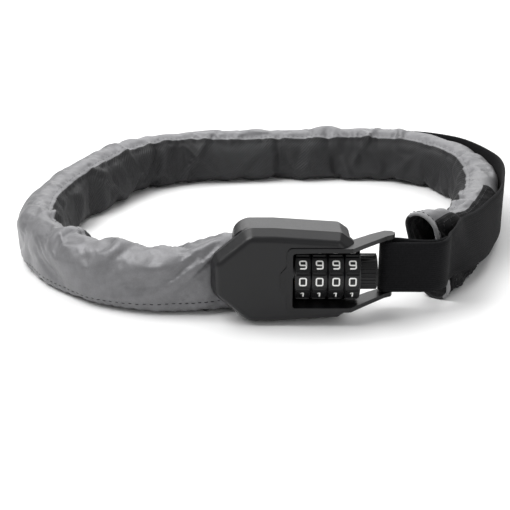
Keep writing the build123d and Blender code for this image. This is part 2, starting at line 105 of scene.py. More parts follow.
def hermite_path(stations, step=0.5):
    """Smooth plane curve through (x, y, heading) stations, resampled evenly."""
    pts = []
    for (x0, y0, h0), (x1, y1, h1) in zip(stations, stations[1:]):
        chord = math.hypot(x1 - x0, y1 - y0)
        t = np.linspace(0, 1, SPAN_POINTS, endpoint=False)[:, None]
        p0, p1 = np.array([[x0, y0]]), np.array([[x1, y1]])
        m0, m1 = (chord * np.array([[math.cos(h), math.sin(h)]])
                  for h in (math.radians(h0), math.radians(h1)))
        a = 2 * t**3 - 3 * t**2 + 1
        b = t**3 - 2 * t**2 + t
        c = -2 * t**3 + 3 * t**2
        d = t**3 - t**2
        pts.append(a * p0 + b * m0 + c * p1 + d * m1)
    pts.append(np.array([[stations[-1][0], stations[-1][1]]]))
    pts = np.vstack(pts)
    s = arc_lengths(pts)
    n = int(s[-1] / step)
    even = np.linspace(0, s[-1], n + 1)
    return np.stack([np.interp(even, s, pts[:, 0]), np.interp(even, s, pts[:, 1])], 1), even


PATH, PATH_S = hermite_path(STATIONS)
BELT_LENGTH = PATH_S[-1]


def smooth(a, window):
    pad = np.concatenate([np.full(window, a[0]), a, np.full(window, a[-1])])
    kernel = np.hanning(2 * window + 1)
    return np.convolve(pad, kernel / kernel.sum(), "same")[window:-window]


TANGENT = np.gradient(PATH, axis=0)
HEADING = smooth(np.unwrap(np.arctan2(TANGENT[:, 1], TANGENT[:, 0])), HEADING_WINDOW)


def at(s, table):
    return np.interp(s, PATH_S, table)


def plan(s):
    """Plan place of a length along the path."""
    return at(s, PATH[:, 0]), at(s, PATH[:, 1])


def nearest(point):
    """Arc length of the place on the path nearest to a layout point."""
    return float(PATH_S[np.argmin(np.hypot(*(PATH - np.array(point)).T))])


def ease(t):
    t = np.clip(t, 0, 1)
    return t * t * (3 - 2 * t)


def ring_at(s_of_ring, s):
    """Number of the ring nearest to a length along the belt."""
    return int(np.argmin(np.abs(s_of_ring - s)))


# ---- materials
class Nodes:
    """Short hand for a node tree with one principled shader."""

    def __init__(self, name):
        self.material = bpy.data.materials.new(name)
        self.material.use_nodes = True
        self.tree = self.material.node_tree
        self.shader = self.tree.nodes["Principled BSDF"]

    def add(self, kind, **values):
        node = self.tree.nodes.new(kind)
        for key, value in values.items():
            if key in node.inputs:
                node.inputs[key].default_value = value
            else:
                setattr(node, key, value)
        return node

    def set(self, name, value):
        self.shader.inputs[name].default_value = value

    def link(self, a, b):
        self.tree.links.new(a, b)

    def math(self, operation, a, b=0.0):
        node = self.add("ShaderNodeMath", operation=operation)
        for socket, value in zip(node.inputs, (a, b)):
            if isinstance(value, (int, float)):
                socket.default_value = value
            else:
                self.link(value, socket)
        return node.outputs[0]

    def noise(self, scale, detail=3.0, rough=0.55):
        coord = self.add("ShaderNodeTexCoord")
        node = self.add("ShaderNodeTexNoise", Scale=scale, Detail=detail, Roughness=rough)
        self.link(coord.outputs["Object"], node.inputs["Vector"])
        return node.outputs["Fac"]

    def ramp(self, value, stops):
        node = self.add("ShaderNodeValToRGB")
        ramp = node.color_ramp
        while len(ramp.elements) < len(stops):
            ramp.elements.new(0.5)
        for element, (place, colour) in zip(ramp.elements, stops):
            element.position = place
            element.color = (*colour, 1.0)
        self.link(value, node.inputs["Fac"])
        return node.outputs["Color"]

    def bump(self, height, strength, distance, below=None):
        node = self.add("ShaderNodeBump", Strength=strength, Distance=distance)
        self.link(height, node.inputs["Height"])
        if below is not None:
            self.link(below, node.inputs["Normal"])
        return node.outputs["Normal"]

    def cloth_uv(self):
        uv = self.add("ShaderNodeUVMap", uv_map="cloth")
        split = self.add("ShaderNodeSeparateXYZ")
        self.link(uv.outputs["UV"], split.inputs[0])
        return split.outputs["X"], split.outputs["Y"]

    def wave(self, value, period):
        return self.math("SINE", self.math("MULTIPLY", value, 2 * math.pi / period))


def tinted(nodes, fac, base, spread):
    low = tuple(c * (1 - spread) for c in base)
    high = tuple(min(1.0, c * (1 + spread)) for c in base)
    nodes.link(nodes.ramp(fac, [(0.3, low), (0.7, high)]), nodes.shader.inputs["Base Color"])


def roughness_from(nodes, fac, low, high):
    span = nodes.add("ShaderNodeMapRange")
    span.inputs["To Min"].default_value = low
    span.inputs["To Max"].default_value = high
    nodes.link(fac, span.inputs["Value"])
    nodes.link(span.outputs["Result"], nodes.shader.inputs["Roughness"])


def moulded_plastic(name, base, rough, grain=2600.0, strength=0.12):
    n = Nodes(name)
    tinted(n, n.noise(45.0), base, 0.10)
    roughness_from(n, n.noise(120.0, 4.0), rough - 0.05, rough + 0.07)
    n.link(n.bump(n.noise(grain, 2.0), strength, 0.0004), n.shader.inputs["Normal"])
    n.set("Specular IOR Level", 0.30)
    return n.material


def metal(name, base, rough, grain=900.0):
    n = Nodes(name)
    n.set("Metallic", 1.0)
    tinted(n, n.noise(80.0), base, 0.08)
    roughness_from(n, n.noise(grain, 5.0), rough - 0.06, rough + 0.1)
    n.link(n.bump(n.noise(grain, 3.0), 0.08, 0.0003), n.shader.inputs["Normal"])
    return n.material


def woven(name, base, rough, thread, twill=False, metallic=0.0, sheen=0.2, spread=0.1,
          bump=0.35, crumple=0.5, contrast=0.10):
    """Cloth: a weave in the cloth's own directions over fine crumples."""
    n = Nodes(name)
    u, v = n.cloth_uv()
    if twill:
        warp = n.wave(n.math("ADD", u, v), thread * 1.6)
        weft = n.wave(n.math("SUBTRACT", u, n.math("MULTIPLY", v, 0.6)), thread * 0.8)
        weave = n.math("ADD", warp, n.math("MULTIPLY", weft, 0.4))
    else:
        weave = n.math("MULTIPLY", n.wave(u, thread), n.wave(v, thread))
    fine = n.noise(1500.0, 2.0)
    mottled = n.math("ADD", n.math("MULTIPLY", weave, contrast), n.noise(160.0, 5.0))
    mottled = n.math("ADD", mottled, n.math("MULTIPLY", n.math("SUBTRACT", fine, 0.5), 0.6))
    tinted(n, mottled, base, spread)
    roughness_from(n, n.noise(220.0), rough - 0.05, rough + 0.08)
    creases = n.bump(n.noise(240.0, 4.0, 0.6), crumple, 0.0009)
    n.link(n.bump(weave, bump, 0.00012, creases), n.shader.inputs["Normal"])
    n.set("Metallic", metallic)
    n.set("Sheen Weight", sheen)
    n.set("Sheen Roughness", 0.45)
    return n.material


def webbing(name, base):
    """Close ribbed webbing with a fuzzy face."""
    n = Nodes(name)
    u, v = n.cloth_uv()
    ribs = n.math("ADD", n.wave(v, 0.0011), n.math("MULTIPLY", n.wave(u, 0.0008), 0.6))
    tinted(n, n.math("ADD", n.math("MULTIPLY", ribs, 0.06), n.noise(900.0, 4.0)), base, 0.30)
    n.link(n.bump(n.noise(1400.0, 3.0), 0.35, 0.0004, n.bump(ribs, 0.4, 0.00016)),
           n.shader.inputs["Normal"])
    n.set("Roughness", 0.86)
    n.set("Sheen Weight", 0.03)
    n.set("Sheen Roughness", 0.5)
    n.set("Specular IOR Level", 0.12)
    return n.material


def paint(name, base, rough=0.45):
    n = Nodes(name)
    tinted(n, n.noise(600.0, 3.0), base, 0.05)
    n.link(n.bump(n.noise(2500.0, 2.0), 0.05, 0.0002), n.shader.inputs["Normal"])
    n.set("Roughness", rough)
    return n.material


def studio_floor():
    n = Nodes("studio_floor")
    tinted(n, n.noise(8.0), (0.86, 0.86, 0.86), 0.01)
    n.set("Roughness", 0.75)
    return n.material


MATERIALS = {
    "housing": moulded_plastic("housing_black", (0.0090, 0.0090, 0.0098), 0.30),
    "frame": moulded_plastic("frame_black", (0.0065, 0.0065, 0.0072), 0.32),
    "dial": moulded_plastic("dial_black", (0.006, 0.006, 0.0065), 0.30, strength=0.06),
    "knob": moulded_plastic("knob_black", (0.0045, 0.0045, 0.0050), 0.34, strength=0.08),
    "steel": metal("ground_steel", (0.46, 0.46, 0.47), 0.32),
    "chain": metal("zinc_chain", (0.55, 0.55, 0.54), 0.38),
    # Dark screw metal; on the barrel core, seen in the gap beside the first dial, it is painted
    # shade.
    "screw": metal("dark_screw_metal_and_gap_shade", (0.12, 0.12, 0.125), 0.35),
    "brass": metal("turned_brass", (0.70, 0.52, 0.25), 0.28),
    "grey_cloth": woven("reflective_cloth", (0.150, 0.150, 0.156), 0.42, 0.0007,
                        metallic=0.30, sheen=0.08, spread=0.13, bump=0.18, crumple=0.22),
    "black_cloth": woven("black_nylon", (0.0080, 0.0080, 0.0092), 0.62, 0.0013, twill=True,
                         sheen=0.02, spread=0.42, bump=0.8, crumple=0.35, contrast=0.22),
    # Dark inner cloth of the mouth; its nearly closed far end is a dark sheet of painted shade.
    "inner_cloth_and_shade_plug": woven("black_inner_cloth_and_shade_plug", (0.006, 0.006, 0.007), 0.8, 0.0009, bump=0.3),
    "hem": woven("hem_tape", (0.19, 0.19, 0.195), 0.6, 0.0006, spread=0.2, bump=0.5),
    "strap": webbing("black_webbing", (0.0055, 0.0055, 0.0063)),
    "patch": webbing("loop_patch", (0.005, 0.005, 0.0056)),
    "figures": paint("white_figures", (0.80, 0.80, 0.78)),
    "thread": paint("dark_thread", (0.02, 0.02, 0.022), 0.8),
    "pale_thread": paint("pale_thread", (0.13, 0.13, 0.135), 0.8),
    "black_thread": paint("black_thread", (0.022, 0.022, 0.024), 0.7),
}

# Look of each CAD node, by how its name starts; the others are plain steel.
CAD_LOOKS = {
    "front_housing": "housing", "rear_housing": "housing", "strap_frame": "frame",
    "sleeve_clamp": "frame", "end_knob": "knob", "housing_screws": "screw",
    "knob_screw": "screw", "chain": "chain", "dial": "dial", "code_sleeve": "brass",
    # The barrel core takes the dark screw metal: painted shade in the gap beside the first dial.
    "barrel_core": "screw",
}


def dress_cad():
    for name in frame["nodes"]:
        look = "steel"
        for start, wanted in CAD_LOOKS.items():
            if name.startswith(start) and name != "chain_anchor_pin":
                look = wanted
        mesh = bpy.data.objects[name].data
        if not mesh.materials:
            mesh.materials.append(MATERIALS[look])
        for k in range(len(mesh.materials)):
            mesh.materials[k] = MATERIALS[look]


# ---- small cloth pieces
LEAN_SLOPE = 0.30  # sideways lean at the sleeve's mouth, per millimetre of height
LEAN_Z = 20.0  # height that stays in place
LEAN_REACH = 90  # length of belt over which the lean sets in


def ribbon(name, centre, low, high, thick, drop, tilt, s0=0.0, corner=0.5):
    """A flat band standing on edge along a plan curve, with a drop and a tilt at each place."""
    centre = np.array(centre, float)
    n = len(centre)
    tangent = np.gradient(centre, axis=0)
    tangent /= np.linalg.norm(tangent, axis=1, keepdims=True)
    side = np.stack([-tangent[:, 1], tangent[:, 0]], 1)
    h = thick / 2
    edge = corner / (high - low)
    levels = [edge, 0.12, 0.25, 0.5, 0.75, 0.88, 1 - edge]
    ring = [(-h, b) for b in levels] + [(0, 1.0)] + [(h, b) for b in reversed(levels)]
    ring.append((0, 0.0))
    step = arc_lengths(centre)
    verts = np.empty((n, len(ring), 3))
    for k, (a, b) in enumerate(ring):
        z = low + (high - low) * b - drop
        verts[:, k, :2] = centre + side * (a + tilt * (z - LEAN_Z))[:, None]
        verts[:, k, 2] = z
    faces = grid_faces(n, len(ring))
    cap_ends(faces, n, len(ring))
    obj = new_object(name, world(verts.reshape(-1, 3)), faces)
    mesh = obj.data
    uv = mesh.uv_layers.new(name="cloth")
    for loop in mesh.loops:
        i, k = divmod(loop.vertex_index, len(ring))
        uv.data[loop.index].uv = ((s0 + step[i]) / 1000.0, ring[k][1] * (high - low) / 1000.0)
    shade_smooth(mesh)
    fix_normals(obj)
    return obj, step[-1]


def offset_path(s_values, offset):
    x, y = plan(s_values)
    h = at(s_values, HEADING)
    off = np.broadcast_to(offset, len(s_values))
    return np.stack([x - np.sin(h) * off, y + np.cos(h) * off], 1)


def rounded(points, step=1.2, passes=6):
    """Resample a rough plan line evenly and soften its corners."""
    p = np.array(points, float)
    for _ in range(passes):
        s = arc_lengths(p)
        even = np.linspace(0, s[-1], int(s[-1] / step) + 1)
        p = np.stack([np.interp(even, s, p[:, 0]), np.interp(even, s, p[:, 1])], 1)
        q = p.copy()
        q[1:-1] = (p[:-2] + 2 * p[1:-1] + p[2:]) / 4
        p = q
    return p


# ---- sleeve surface
ROWS = 44  # points round the sleeve; row 0 is the lower seam
RING_STEP = 2.6  # millimetres along the sleeve
RINGS = int(BELT_LENGTH / RING_STEP) + 1
RING_S = np.linspace(0, BELT_LENGTH, RINGS)
SEAM_ANGLE = math.radians(-50)  # where the lower seam sits on the section


# Half sizes of the sleeve's section in millimetres: at the head, and what is added further on.
HEAD_THICK, BODY_THICK, MOUTH_THICK = 7.4, 4.7, -4.3
HEAD_HIGH, BODY_HIGH, MOUTH_HIGH = 20.2, -2.6, 4.8
BACK_HIGH = 1.2  # the back of the ring stands a little taller
SWELL_THICK, SWELL_HIGH = 0.5, 0.35


def near_mouth(s, reach):
    """0 along the belt, rising to 1 over the last millimetres before the mouth."""
    return ease((s - BELT_LENGTH + reach) / (reach - 6))


def half_thickness(s):
    mouth = near_mouth(s, 40)
    swell = SWELL_THICK * np.sin(s / 31 + 1) * ease((s - 20) / 60) * (1 - mouth)
    return HEAD_THICK + BODY_THICK * ease(s / 20) + swell + MOUTH_THICK * mouth


def half_height(s):
    mouth = near_mouth(s, 60)
    back = BACK_HIGH * ease((s - 190) / 80) * (1 - ease((s - 470) / 90))
    swell = SWELL_HIGH * np.sin(s / 43 + 2) * (1 - mouth)
    return HEAD_HIGH + BODY_HIGH * ease(s / 30) + back + swell + MOUTH_HIGH * mouth


def lean(s, z):
    """Sideways lean of the sleeve towards its mouth: the top comes inwards."""
    return -LEAN_SLOPE * (z - LEAN_Z) * near_mouth(s, LEAN_REACH)


def section(a, b, rows):
    """Points of a stadium of half sizes a and b, evenly spaced from the lower seam."""
    rise = b - a
    arc = math.pi * a
    total = 2 * arc + 4 * rise
    out = np.empty((rows, 2))
    seam = (SEAM_ANGLE + math.pi / 2) * a
    for j in range(rows):
        d = (seam + total * j / rows) % total
        if d < arc / 2:
            t = d / a - math.pi / 2
            out[j] = a * math.cos(t), -rise + a * math.sin(t)
        elif d < arc / 2 + 2 * rise:
            out[j] = a, -rise + (d - arc / 2)
        elif d < 1.5 * arc + 2 * rise:
            t = (d - arc / 2 - 2 * rise) / a
            out[j] = a * math.cos(t), rise + a * math.sin(t)
        elif d < 1.5 * arc + 4 * rise:
            out[j] = -a, rise - (d - 1.5 * arc - 2 * rise)
        else:
            t = (d - 1.5 * arc - 4 * rise) / a + math.pi
            out[j] = a * math.cos(t), -rise + a * math.sin(t)
    return out


def tube(path, heading, a_of, b_of, rings, rows, base=0.25):
    """Grid of points (ring, row, xyz) round a path, in millimetres."""
    grid = np.empty((len(rings), rows, 3))
    for i, s in enumerate(rings):
        a, b = float(a_of(s)), float(b_of(s))
        x, y = np.interp(s, PATH_S, path[:, 0]), np.interp(s, PATH_S, path[:, 1])
        h = np.interp(s, PATH_S, heading)
        nx, ny = -math.sin(h), math.cos(h)
        uv = section(a, b, rows)
        z = b + base + uv[:, 1]
        out = uv[:, 0] + lean(s, z)
        grid[i] = np.stack([x + nx * out, y + ny * out, z], 1)
    return grid


def relaxed_path(keep, stretch):
    """The path with its turning reduced and its length increased."""
    h = HEADING[0] + keep * (HEADING - HEADING[0])
    step = stretch * np.diff(PATH_S)
    mid = (h[1:] + h[:-1]) / 2
    x = np.concatenate([[0], np.cumsum(step * np.cos(mid))]) + PATH[0, 0]
    y = np.concatenate([[0], np.cumsum(step * np.sin(mid))]) + PATH[0, 1]
    return np.stack([x, y], 1), h


def grid_faces(rings, rows, closed=True, first=0):
    faces = []
    for i in range(rings - 1):
        a, b = first + i * rows, first + (i + 1) * rows
        for j in range(rows if closed else rows - 1):
            k = (j + 1) % rows
            faces.append((a + j, a + k, b + k, b + j))
    return faces


def cap_ends(faces, rings, rows, first=0):
    faces.append(tuple(first + k for k in range(rows))[::-1])
    faces.append(tuple(first + (rings - 1) * rows + k for k in range(rows)))


def new_object(name, verts, faces):
    mesh = bpy.data.meshes.new(name)
    mesh.from_pydata([tuple(v) for v in verts], [], faces)
    mesh.update()
    obj = bpy.data.objects.new(name, mesh)
    bpy.context.scene.collection.objects.link(obj)
    return obj


def dress(obj, *looks):
    for look in looks:
        obj.data.materials.append(MATERIALS[look])


def shade_smooth(mesh):
    for poly in mesh.polygons:
        poly.use_smooth = True


def outward(grid):
    """Unit normals of a closed grid, pointing out of the tube."""
    along = np.gradient(grid, axis=0)
    around = np.roll(grid, -1, axis=1) - np.roll(grid, 1, axis=1)
    n = np.cross(around, along)
    n /= np.maximum(np.linalg.norm(n, axis=2, keepdims=True), 1e-9)
    centre = grid.mean(axis=1, keepdims=True)
    sign = np.sign(((grid - centre) * n).sum(axis=2, keepdims=True).mean())
    return n * sign


FOLDS = 210
FOLD_SEED, PUCKER_SEED = 11, 5
INSIDE_SHARE = 0.62  # folds on the inside of the ring
RAISED_SHARE = 0.55  # folds that stand out; the others are furrows
INSIDE_GAIN, OUTSIDE_GAIN = 1.55, 0.85
FOLD_DEEPEST, FOLD_HIGHEST = -3.4, 3.2


def sculpted_folds(rings, rows):
    """Heights of many soft ridges and furrows: gathers inside the bend, slack outside."""
    random = np.random.default_rng(FOLD_SEED)
    s = RING_S[:, None]
    t = np.linspace(0, 1, rows, endpoint=False)[None, :]
    height = np.zeros((rings, rows))
    for _ in range(FOLDS):
        inside = random.random() < INSIDE_SHARE
        s0 = random.uniform(24, BELT_LENGTH - 14)
        t0 = random.uniform(0.46, 0.9) if inside else random.uniform(0.02, 0.5)
        wide = random.uniform(3.2, 6.0) if inside else random.uniform(5.0, 11.0)
        tall = random.uniform(0.08, 0.22) if inside else random.uniform(0.07, 0.2)
        slant = random.normal(0, 35) if inside else random.normal(0, 90)
        peak = random.uniform(0.6, 1.7) * (1 if random.random() < RAISED_SHARE else -1)
        peak *= INSIDE_GAIN if inside else OUTSIDE_GAIN
        dt = (t - t0 + 0.5) % 1 - 0.5
        ds = s - s0 - slant * dt
        height += peak * np.exp(-(ds / wide) ** 2 - (dt / tall) ** 2)
    fade = ease((s - 2) / 22) * ease((BELT_LENGTH - s) / 12)
    return np.clip(height, FOLD_DEEPEST, FOLD_HIGHEST) * fade


SIM_SCALE = 0.01  # millimetres to simulation units, ten times the real size
SIM_FRAMES = 34
REST_BEND, REST_STRETCH = 0.45, 1.05  # the cloth's rest shape is straighter and longer
SEAM_HOLD = 0.12  # how firmly the lower seam is pinned
CORE_IN_THICK, CORE_IN_HIGH = 2.6, 2.4  # the core lies this far inside the sleeve
CORE_ROWS = 28
CORE_LIFT = 0.9
SIM_GAP = 0.004
CLOTH_SETTINGS = {
    "quality": 6, "mass": 0.25, "air_damping": 2.0, "tension_stiffness": 18.0,
    "compression_stiffness": 18.0, "shear_stiffness": 4.0, "bending_stiffness": 0.35,
    "tension_damping": 8.0, "compression_damping": 8.0, "use_pressure": True,
    "uniform_pressure_force": 0.25,
}
MOST_MOVED = 7.0  # millimetres a point may move in all


def gather_sleeve(grid):
    """Let the bent sleeve crumple: its cloth is longer than the inside of the bend."""
    rings, rows = grid.shape[:2]
    start = grid + outward(grid) * sculpted_folds(rings, rows)[..., None]
    cloth = new_object("sleeve_cloth", start.reshape(-1, 3) * SIM_SCALE, grid_faces(rings, rows))
    path, heading = relaxed_path(REST_BEND, REST_STRETCH)
    rest = tube(path, heading, half_thickness, half_height, RING_S, rows)
    cloth.shape_key_add(name="Basis")
    flat = cloth.shape_key_add(name="rest")
    flat.data.foreach_set("co", (rest.reshape(-1) * SIM_SCALE).astype(np.float32))
    pins = cloth.vertex_groups.new(name="pin")
    ends = [i * rows + j for i in (0, 1, 2, rings - 2, rings - 1) for j in range(rows)]
    pins.add(ends, 1.0, "REPLACE")
    seam = [i * rows for i in range(3, rings - 2)]
    pins.add(seam, SEAM_HOLD, "REPLACE")

    core_grid = tube(PATH, HEADING, lambda s: half_thickness(s) - CORE_IN_THICK,
                     lambda s: half_height(s) - CORE_IN_HIGH, RING_S[::3], CORE_ROWS,
                     base=CORE_LIFT)
    core = new_object("sleeve_core", core_grid.reshape(-1, 3) * SIM_SCALE,
                      grid_faces(len(core_grid), CORE_ROWS))
    ground = new_object("sleeve_ground", [(-4, -3, 0), (4, -3, 0), (4, 5, 0), (-4, 5, 0)],
                        [(0, 1, 2, 3)])
    for thing in (core, ground):
        thing.modifiers.new("hit", "COLLISION")
        thing.collision.thickness_outer = SIM_GAP
        thing.collision.cloth_friction = 8.0

    sim = cloth.modifiers.new("cloth", "CLOTH")
    sim.settings.rest_shape_key = flat
    sim.settings.vertex_group_mass = "pin"
    for name, value in CLOTH_SETTINGS.items():
        setattr(sim.settings, name, value)
    sim.settings.effector_weights.gravity = 0.3
    sim.collision_settings.distance_min = SIM_GAP
    sim.collision_settings.use_self_collision = False
    sim.point_cache.frame_start = 1
    sim.point_cache.frame_end = SIM_FRAMES
    scene = bpy.context.scene
    for f in range(1, SIM_FRAMES + 1):
        scene.frame_set(f)
    shape = cloth.evaluated_get(bpy.context.evaluated_depsgraph_get())
    co = np.empty(rings * rows * 3)
    shape.data.vertices.foreach_get("co", co)
    out = co.reshape(rings, rows, 3) / SIM_SCALE
    scene.frame_set(1)
    for thing in (cloth, core, ground):
        mesh = thing.data
        bpy.data.objects.remove(thing)
        bpy.data.meshes.remove(mesh)
    move = out - grid
    size = np.linalg.norm(move, axis=2, keepdims=True)
    return grid + move * np.minimum(1, MOST_MOVED / np.maximum(size, 1e-9))


def finer(grid, times=2):
    """Catmull-Rom refinement of a grid that is closed along its second axis."""
    def refine(g, closed, axis):
        g = np.moveaxis(g, axis, 0)
        if closed:
            p = np.concatenate([g[-1:], g, g[:2]])
            count = len(g)
        else:
            p = np.concatenate([2 * g[:1] - g[1:2], g, 2 * g[-1:] - g[-2:-1]])
            count = len(g) - 1
        out = []
        for k in range(times):
            t = k / times
            w = (-0.5 * t + t * t - 0.5 * t**3, 1 - 2.5 * t * t + 1.5 * t**3,
                 0.5 * t + 2 * t * t - 1.5 * t**3, -0.5 * t * t + 0.5 * t**3)
            out.append(sum(w[m] * p[m:m + count] for m in range(4)))
        fine = np.stack(out, 1).reshape(-1, *g.shape[1:])
        if not closed:
            fine = np.concatenate([fine, g[-1:]])
        return np.moveaxis(fine, 0, axis)
    return refine(refine(grid, False, 0), True, 1)


GIRTH = 100.0  # millimetres round the sleeve, rounded
STITCH_AT = 5.2  # millimetres of grey cloth below the stitch line


def pucker(grid, s_of_row):
    """Small puckers and a stitched groove along the two seams."""
    rows = grid.shape[1]
    t = np.arange(rows)[None, :] / rows
    s = s_of_row[:, None]
    random = np.random.default_rng(PUCKER_SEED)
    wobble = np.interp(s_of_row, np.linspace(0, BELT_LENGTH, 90), random.normal(0, 2.2, 90))
    drift = wobble[:, None]
    lower = np.minimum(t, 1 - t) * GIRTH
    upper = np.abs(t - 0.5) * GIRTH
    groove = -0.55 * np.exp(-((t * GIRTH - STITCH_AT) / 0.9) ** 2)
    ripple = 0.30 * np.sin(2 * math.pi * (s + drift) / 6.3) * np.exp(-(lower / 7.0) ** 2)
    gather = 0.42 * np.sin(2 * math.pi * (s + 1.6 * drift) / 8.1) * np.exp(-(upper / 6.0) ** 2)
    ridge = 0.5 * np.exp(-(upper / 1.3) ** 2) - 0.35 * np.exp(-((upper - 2.6) / 1.4) ** 2)
    rim = ease((BELT_LENGTH - s - 2) / 6)
    return grid + outward(grid) * ((groove + ripple + gather * 0.9 + ridge) * rim)[..., None]


def panel_mesh(name, grid, normals, s_of_row, r0, r1, j0, j1):
    """One cloth panel from rings r0..r1 and rows j0..j1, with its own UV in metres."""
    rows = grid.shape[1]
    cols = [j % rows for j in range(j0, j1 + 1)]
    part = grid[r0:r1 + 1][:, cols]
    n = len(cols)
    obj = new_object(name, world(part.reshape(-1, 3)), grid_faces(r1 - r0 + 1, n, closed=False))
    mesh = obj.data
    uv = mesh.uv_layers.new(name="cloth")
    index = np.empty(len(mesh.loops), int)
    mesh.loops.foreach_get("vertex_index", index)
    width = GIRTH / 1000.0 / rows
    u = s_of_row[r0 + index // n] / 1000.0
    v = (j0 + index % n) * width
    uv.data.foreach_set("uv", np.stack([u, v], 1).reshape(-1).astype(np.float32))
    shade_smooth(mesh)
    own = normals[r0:r1 + 1][:, cols].reshape(-1, 3)
    mesh.normals_split_custom_set_from_vertices([tuple(v) for v in own])
    return obj


def blend_over(obj):
    """Bake a piece's transform into its mesh."""
    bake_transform(obj)


# ---- belt pieces
PAIRS = list(HINGES)
STRAP_SEWN_PAIR, STRAP_BENT_PAIR = PAIRS[3], PAIRS[4]
CAD_SLEEVES = {
    "left_front_arm": "left_front", "left_back_arm": "left_back", "back_span": "back",
    "right_back_arm": "right_back", "right_front_arm": "right_front",
}


CHAIN_CLEAR = 0.7  # millimetres between the cloth and the steel under it
PROBE = 8.0  # the steel is looked for from this far outside the cloth
SPREAD_RINGS, SPREAD_ROWS = 5, 4 # a push is shared over this many neighbours


def clear_of_chain(fine, normals):
    """Drape the cloth over the links that press against it from inside."""
    trees = []
    for name in frame["nodes"]:
        if name.startswith("chain_") and name != "chain_anchor_pin":
            mesh = bpy.data.objects[name].data
            points = [v.co for v in mesh.vertices]
            trees.append(BVHTree.FromPolygons(points, [tuple(f.vertices) for f in mesh.polygons]))
    rings, rows = fine.shape[:2]
    outside = world((fine + normals * PROBE).reshape(-1, 3))
    inward = -normals.reshape(-1, 3)
    deep = PROBE + CHAIN_CLEAR
    push = np.zeros(rings * rows)
    for k in range(rings * rows):
        for tree in trees:
            place, _, _, far = tree.ray_cast(Vector(outside[k]), Vector(inward[k]), deep / 1000)
            if place is not None:
                push[k] = max(push[k], deep - far * 1000)
    push = push.reshape(rings, rows)
    padded = np.pad(push, ((SPREAD_RINGS, SPREAD_RINGS), (0, 0)))
    spread = push
    for di in range(-SPREAD_RINGS, SPREAD_RINGS + 1):
        for dj in range(-SPREAD_ROWS, SPREAD_ROWS + 1):
            share = math.exp(-(di * 1.3 / 4.0) ** 2 - (dj * 1.15 / 3.2) ** 2)
            moved = np.roll(padded, dj, axis=1)[SPREAD_RINGS - di:][:rings]
            spread = np.maximum(spread, share * moved)
    return fine + normals * spread[..., None]


FLOOR_GAP = 0.15  # lowest place of the cloth above the ground


def build_sleeve():
    """The sleeve's panels, one outer and one inner for each stretch between hinges."""
    base = tube(PATH, HEADING, half_thickness, half_height, RING_S, ROWS)
    shaped = base + outward(base) * sculpted_folds(RINGS, ROWS)[..., None]
    shaped = gather_sleeve(base)
    fine = finer(shaped)
    s_fine = np.interp(np.arange(len(fine)) / 2, np.arange(RINGS), RING_S)
    fine = pucker(fine, s_fine)
    fine = clear_of_chain(fine, outward(fine))
    fine[..., 2] = np.maximum(fine[..., 2], FLOOR_GAP)
    normals = outward(fine)
    rows = fine.shape[1]
    knots = [nearest(HINGES[p]) for p in PAIRS]
    cuts = [0.0] + [(a + b) / 2 for a, b in zip(knots, knots[1:])] + [BELT_LENGTH]
    rings = [ring_at(s_fine, c) for c in cuts]
    for n, pair in enumerate(PAIRS):
        for word, j0, j1 in (("outer", 0, rows // 2), ("inner", rows // 2, rows)):
            name = f"sleeve_{word}_{pair[1]}"
            obj = panel_mesh(name, fine, normals, s_fine, rings[n], rings[n + 1], j0, j1)
            look = "grey_cloth" if word == "outer" else "black_cloth"
            dress(obj, look)
            part = CAD_SLEEVES[pair[1]]
            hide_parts(f"sleeve_{word}_{part}")
            if n == 0:
                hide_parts(f"sleeve_{word}_head")
            blend_over(obj)
    return fine, s_fine, normals, rings


STITCH_STEPS, STITCH_SIDES = 6, 6
STITCH_PITCH = 3.3
TOP_STITCH_ROW = 0.475  # share of the way round, just outside the upper seam


def stitches(name, grid, normals, s_of_row, row, s_values, length=2.3, wire=0.3, lift=0.12):
    """Short thread loops lying on the cloth along one row of its grid."""
    rings = np.interp(s_values, s_of_row, np.arange(len(s_of_row)))
    j = int(round(row)) % grid.shape[1]
    line, up = grid[:, j], normals[:, j]
    index = np.arange(len(grid))
    centre, way, lean = (np.stack([np.interp(rings, index, table[:, k]) for k in range(3)], 1)
                         for table in (line, np.gradient(line, axis=0), up))
    return thread_mesh(name, centre, way, lean, length, wire, lift)


def thread_mesh(name, centre, way, lean, length, wire, lift):
    """A row of separate stitches, each a short thread arched into the cloth."""
    way = way / np.linalg.norm(way, axis=1, keepdims=True)
    lean = lean / np.linalg.norm(lean, axis=1, keepdims=True)
    side = np.cross(way, lean)
    steps, sides = STITCH_STEPS, STITCH_SIDES
    verts, faces = [], []
    for c, w, u, v in zip(centre, way, lean, side):
        first = len(verts)
        for i in range(steps):
            t = 2 * i / (steps - 1) - 1
            mid = c + w * (t * length / 2) + u * (lift - 0.55 * wire * t * t * 2)
            r = wire * (1 - 0.75 * t ** 6)
            for k in range(sides):
                turn = 2 * math.pi * k / sides
                verts.append(mid + r * (u * math.cos(turn) * 0.7 + v * math.sin(turn)))
        faces.extend(grid_faces(steps, sides, first=first))
        cap_ends(faces, steps, sides, first)
    obj = new_object(name, world(verts), faces)
    shade_smooth(obj.data)
    return obj


def sew_seams(fine, s_fine, normals, rings):
    """Stitching along the lower seam and beside the upper one."""
    rows = fine.shape[1]
    for n, pair in enumerate(PAIRS):
        s0, s1 = s_fine[rings[n]], s_fine[rings[n + 1]]
        spots = np.arange(max(s0, 6) + 1.6, min(s1, BELT_LENGTH - 9), STITCH_PITCH)
        lower = stitches(f"seam_stitches_{pair[1]}", fine, normals, s_fine,
                         STITCH_AT / GIRTH * rows, spots)
        upper = stitches(f"top_stitches_{pair[1]}", fine, normals, s_fine,
                         rows * TOP_STITCH_ROW, spots, length=2.0, wire=0.22)
        for obj, look in ((lower, "thread"), (upper, "pale_thread")):
            dress(obj, look)
            blend_over(obj)


